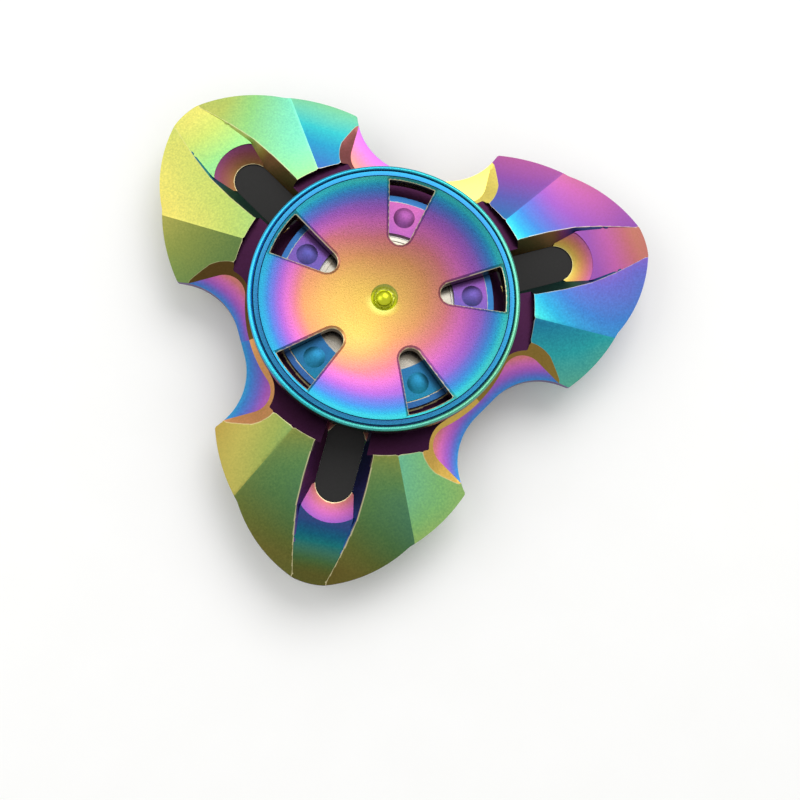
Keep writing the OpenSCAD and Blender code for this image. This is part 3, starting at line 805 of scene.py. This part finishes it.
def plate_film(x, y, label):
    """The same for every surface of the plate"""
    film, painted_light = cap_film(x, y)
    r = math.hypot(x, y)
    # The dimple's cone has painted light, lighter towards the stud, and the rolled window edges a faint
    # painted shade
    if label == CONE:
        return CONE_FILM, 0.72 + 0.25 * (dimple_r - r) / (dimple_r - stud_hole_r)
    if label == ROLL:
        return film + 0.03, painted_light * 0.96
    # A painted highlight, gold, lies beside the dimple, towards 241 degrees
    dimple_highlight = max(0.0, 1 - max(r - dimple_r, 0) / 0.75) * max(0.0, toward(math.atan2(y, x), 241))
    return film - 0.13 * dimple_highlight, painted_light + 0.04 * dimple_highlight


# The rim, from the face outwards and down the side: radius, height, coat order, painted light and
# shade, which is a painted shade in the groove and down the side. ON_FACE takes the face's own
# coat, and ON_BEAD a cyan one that turns greener along the rim, with a painted highlight towards
# 150 degrees and a painted shade on the bead's outer side.
ON_FACE, ON_BEAD = "face", "bead"
groove_out_r = face_r + rim_w + groove_w
RIM = [
    (plate_r - 0.2, float(dish_z(plate_r - 0.2)) - 0.04, ON_FACE, 0.0),
    (plate_r, float(dish_z(plate_r)) - 0.004, ON_FACE, 0.0),
    (face_r, cap_top - 0.10, 0.55, 0.30), (face_r + 0.06, cap_top, 0.58, 0.74),
    (face_r + rim_w - 0.04, cap_top, 0.61, 0.78), (face_r + rim_w + 0.02, cap_top - 0.12, 0.55, 0.22),
    (groove_out_r, cap_top - 0.10, 0.55, 0.30),
]
bead_mid_r, bead_mid_z = cap_r - bead_w / 2, cap_top - bead_w / 2
for turn in (160, 130, 105, 80, 55, 30, 10, 0):
    a = math.radians(turn)
    # The bead's outer side takes a painted shade
    bead_painted_light = 0.84 - 0.12 * (turn < 60)
    RIM.append((bead_mid_r + bead_w / 2 * math.cos(a), bead_mid_z + bead_w / 2 * math.sin(a),
                ON_BEAD, bead_painted_light))
RIM += [(cap_r, cap_top - 0.42, 0.82, 0.40), (cap_r, cap_under + 0.2, 0.85, 0.30),
        (cap_r - 0.2, cap_under, 0.85, 0.30), (plate_r, cap_under, *UNDER_FILM)]
BOSS = [(boss_r, cap_under, *UNDER_FILM), (boss_r, seat_top, *UNDER_FILM), (spigot_r, seat_top, 0.15, 0.5),
        (spigot_r, spigot_end, 0.1, 0.5), (spigot_bore_r, spigot_end, 0.1, 0.4)]


def whole_cap(up):
    """One cap's face plate with its window walls, underside, rim, boss and spigot"""
    verts, faces, film, painted_light, edge = [], [], [], [], []

    def put(ring, look, edge_highlight):
        if up < 0:
            ring, look, edge_highlight = ring[::-1], look[::-1], edge_highlight[::-1]
        faces.append(ring)
        film.extend(f for f, _ in look)
        painted_light.extend(b for _, b in look)
        edge.extend(edge_highlight)

    verts += [(x, y, z * up) for x, y, z in plate]
    verts += [(x, y, cap_under * up) for x, y, z in plate]
    below = len(plate)
    flat = np.array(plate)
    # A painted highlight along the edges of the windows
    on_window = np.abs(outside_window(flat[:, 0], flat[:, 1])) < 0.02
    window_highlight = np.where(on_window, 1.0, 0.0).tolist()
    for ids, label in zip(plate_faces, plate_labels):
        put(list(ids), [plate_film(plate[k][0], plate[k][1], label) for k in ids], [window_highlight[k] for k in ids])
        put([k + below for k in ids][::-1], [UNDER_FILM] * len(ids), [0.0] * len(ids))
    for ia, ib, *_ in plate_rims:
        r = math.hypot(plate[ia][0], plate[ia][1])
        if r > window_out_r + 0.05:
            continue
        ring = [ib, ia, ia + below, ib + below]
        if r < dimple_r:
            put(ring, [HOLE_FILM] * 4, [0.0] * 4)
        else:
            look = [WINDOW_TOP_FILM, WINDOW_FOOT_FILM, WINDOW_FOOT_FILM, WINDOW_TOP_FILM]
            put(ring, look, [WINDOW_EDGE_HIGHLIGHT, WINDOW_EDGE_HIGHLIGHT, 0.0, 0.0])
    for profile in (RIM, BOSS):
        start = len(verts)
        for n in range(rim_segments):
            angle = 2 * math.pi * n / rim_segments
            verts += [(r * math.cos(angle), r * math.sin(angle), z * up) for r, z, _, _ in profile]
        wide = len(profile)
        for n in range(rim_segments):
            angle, middle = 2 * math.pi * n / rim_segments, 2 * math.pi * (n + 0.5) / rim_segments
            green = 0.5 + 0.5 * toward(angle, -47)
            # A painted highlight along the bead towards 150 degrees
            painted_highlight = max(0.0, toward(angle, 150))
            for k in range(wide - 1):
                a, b = start + n * wide + k, start + (n + 1) % rim_segments * wide + k
                look = []
                for r, _, order, rim_painted_light in (profile[k], profile[k + 1], profile[k + 1], profile[k]):
                    if order == ON_FACE:
                        order, rim_painted_light = cap_film(r * math.cos(middle), r * math.sin(middle))
                    elif order == ON_BEAD:
                        order, rim_painted_light = 0.62 + 0.16 * green, rim_painted_light + 0.30 * painted_highlight ** 2
                    look.append((order, rim_painted_light))
                put([a, a + 1, b + 1, b], look, [0.0] * 4)
    return verts, faces, film, painted_light, edge


# The same coat over finer blasting, so the caps are a little glossier than the frame
cap_coat = coated_steel("fine_blasted_coated_steel", 0.08, 0.28)
upper_piece = make_piece("windowed_cap_upper", *whole_cap(1))
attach(upper_piece, "caps")
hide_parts("upper_cap")
upper_piece.data.materials.append(cap_coat)
lower_piece = make_piece("windowed_cap_lower", *whole_cap(-1))
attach(lower_piece, "caps")
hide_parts("lower_cap")
lower_piece.data.materials.append(cap_coat)

# ---- Retainer, screws and stud ----------------------------------------------------------
# A thin coated ring under five round-headed screws holds the bearing in the hub. The stud
# through both caps is turned and coated plain yellow. The other colours drift across the piece.


def drifting_coat(name, film, drift, direction, painted_light, roughness):
    """Coated steel whose colour order drifts in a direction by so much in ten millimetres. Its pits,
    0.15 mm, are drawn some ten times too coarse so that they show; its clouds are 3 mm."""
    material, tree, shader = new_material(name)
    place = add(tree, "TexCoord")
    angle = math.radians(direction)
    lean = (math.cos(angle) * drift / (10 * mm), math.sin(angle) * drift / (10 * mm), 0.0)
    slope = add(tree, "VectorMath", {0: place.outputs["Object"], 1: lean}, operation="DOT_PRODUCT")
    clouds = add(tree, "TexNoise", {"Vector": place.outputs["Object"], "Scale": 1 / (3 * mm),
                                    "Detail": 3.0})
    pits = add(tree, "TexNoise", {"Vector": place.outputs["Object"], "Scale": 1 / (0.15 * mm),
                                  "Detail": 2.0})
    base = add(tree, "Math", {0: clouds.outputs["Fac"], 1: 0.10, 2: film - 0.05},
               operation="MULTIPLY_ADD")
    order = add(tree, "Math", {0: base.outputs[0], 1: slope.outputs["Value"]}, operation="ADD")
    turn = add(tree, "Math", {0: order.outputs[0]}, operation="FRACT")
    ramp = film_ramp(tree, turn.outputs[0])
    # The painted light value lays a painted shade over the whole piece
    speck = add(tree, "Math", {0: pits.outputs["Fac"], 1: 0.4 * painted_light, 2: 0.8 * painted_light},
                operation="MULTIPLY_ADD")
    deep = add(tree, "Math", {0: speck.outputs[0], 1: 2.0}, operation="POWER")
    colour = add(tree, "VectorMath", {0: ramp.outputs["Color"], "Scale": deep.outputs[0]},
                 operation="SCALE")
    tree.links.new(colour.outputs["Vector"], shader.inputs["Base Color"])
    shader.inputs["Metallic"].default_value = 1.0
    shader.inputs["Roughness"].default_value = roughness
    bump = add(tree, "Bump", {"Height": pits.outputs["Fac"], "Strength": 0.15, "Distance": 0.01 * mm})
    tree.links.new(bump.outputs["Normal"], shader.inputs["Normal"])
    return material


def finish_node(name, material):
    """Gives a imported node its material"""
    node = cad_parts[name]
    node.data.materials.clear()
    node.data.materials.append(material)


def bare_metal(name, dark, light, roughness, ring=False):
    """Metal of one colour with 2 mm clouds of tarnish. Ring adds the circles that turning or
    grinding leaves, drawn every 0.5 mm, coarser than the real ones, so that they show."""
    material, tree, shader = new_material(name)
    place = add(tree, "TexCoord")
    cloud = add(tree, "TexNoise", {"Vector": place.outputs["Object"], "Scale": 1 / (2 * mm), "Detail": 4.0})
    height = cloud.outputs["Fac"]
    if ring:
        circles = add(tree, "TexWave", {"Vector": place.outputs["Object"], "Scale": 1 / (0.5 * mm),
                                        "Distortion": 0.6}, wave_type="RINGS", rings_direction="Z")
        mixed = add(tree, "Math", {0: circles.outputs["Fac"], 1: 0.2, 2: cloud.outputs["Fac"]},
                    operation="MULTIPLY_ADD")
        height = mixed.outputs[0]
    tint = add(tree, "ValToRGB", {"Fac": height})
    tint.color_ramp.elements[0].color = linear(dark)
    tint.color_ramp.elements[1].color = linear(light)
    tree.links.new(tint.outputs["Color"], shader.inputs["Base Color"])
    shader.inputs["Metallic"].default_value = 1.0
    rough = add(tree, "Math", {0: cloud.outputs["Fac"], 1: 0.08, 2: roughness - 0.04},
                operation="MULTIPLY_ADD")
    tree.links.new(rough.outputs[0], shader.inputs["Roughness"])
    bump = add(tree, "Bump", {"Height": height, "Strength": 0.08, "Distance": 0.005 * mm})
    tree.links.new(bump.outputs["Normal"], shader.inputs["Normal"])
    return material


# Ground steel under a violet to blue coat, satin, darkened by a painted shade
finish_node("retainer_ring", drifting_coat("ground_coated_steel", 0.475, -0.15, 60, 0.70, 0.30))
# Turned steel screws with the same coat, duller in sheen and with a lighter painted shade than the ring
finish_node("retainer_screws", drifting_coat("turned_coated_steel", 0.50, -0.15, 60, 0.80, 0.5))
# Turned steel under a bright yellow coat, which stands out against the rainbow of the cap
finish_node("axle_stud", bare_metal("yellow_coated_steel", "#c2c81c", "#e6ee40", 0.32))

# ---- Slot inlays ------------------------------------------------------------------------
# Plain black plastic plates pressed into the three slots, moulded with a matt face.

# Black acetal, moulded against a matt steel tool: near black, dull, with a fine 0.2 mm grain
inlay, tree, shader = new_material("matt_black_acetal")
place = add(tree, "TexCoord")
grain = add(tree, "TexNoise", {"Vector": place.outputs["Object"], "Scale": 1 / (0.2 * mm), "Detail": 3.0})
tint = add(tree, "ValToRGB", {"Fac": grain.outputs["Fac"]})
tint.color_ramp.elements[0].color = linear("#1a1918")
tint.color_ramp.elements[1].color = linear("#232221")
tree.links.new(tint.outputs["Color"], shader.inputs["Base Color"])
shader.inputs["Roughness"].default_value = 0.62
shader.inputs["Specular IOR Level"].default_value = 0.3
bump = add(tree, "Bump", {"Height": grain.outputs["Fac"], "Strength": 0.2, "Distance": 0.01 * mm})
tree.links.new(bump.outputs["Normal"], shader.inputs["Normal"])
for i in (1, 2, 3):
    finish_node(f"slot_inlay_{i}", inlay)

# ---- Bearing ----------------------------------------------------------------------------
# A standard shielded ball bearing: ground races, polished balls, pressed steel shields held
# by split spring rings, and a brass cage. Two turned washers space the caps from it.

# Hardened chrome steel, ground and honed: a grey satin with fine circles
race_steel = bare_metal("ground_chrome_steel", "#8f8d88", "#c6c3ba", 0.25, ring=True)
finish_node("outer_race", race_steel)
finish_node("inner_race", race_steel)
# Hardened chrome steel, lapped to a mirror without marks
ball_steel = bare_metal("lapped_chrome_steel", "#b4b4b4", "#d8d8d8", 0.08)
for i in range(1, 10):
    finish_node(f"ball_{i}", ball_steel)
# Pressed brass strip, tumbled to a soft yellow sheen
finish_node("ball_cage", bare_metal("pressed_brass", "#a8843c", "#d0ac5c", 0.35))
# Pressed stainless sheet and spring wire, bright rolled, slightly warm in colour
shield_steel = bare_metal("rolled_stainless_steel", "#8a857c", "#cfc8ba", 0.22)
for level in ("upper", "lower"):
    finish_node(f"{level}_shield", shield_steel)
    finish_node(f"{level}_shield_clip", shield_steel)
# Stainless washers, turned: a duller grey with fine circles
washer_steel = bare_metal("turned_stainless_steel", "#98958e", "#c8c5bc", 0.3, ring=True)
finish_node("upper_spacer", washer_steel)
finish_node("lower_spacer", washer_steel)
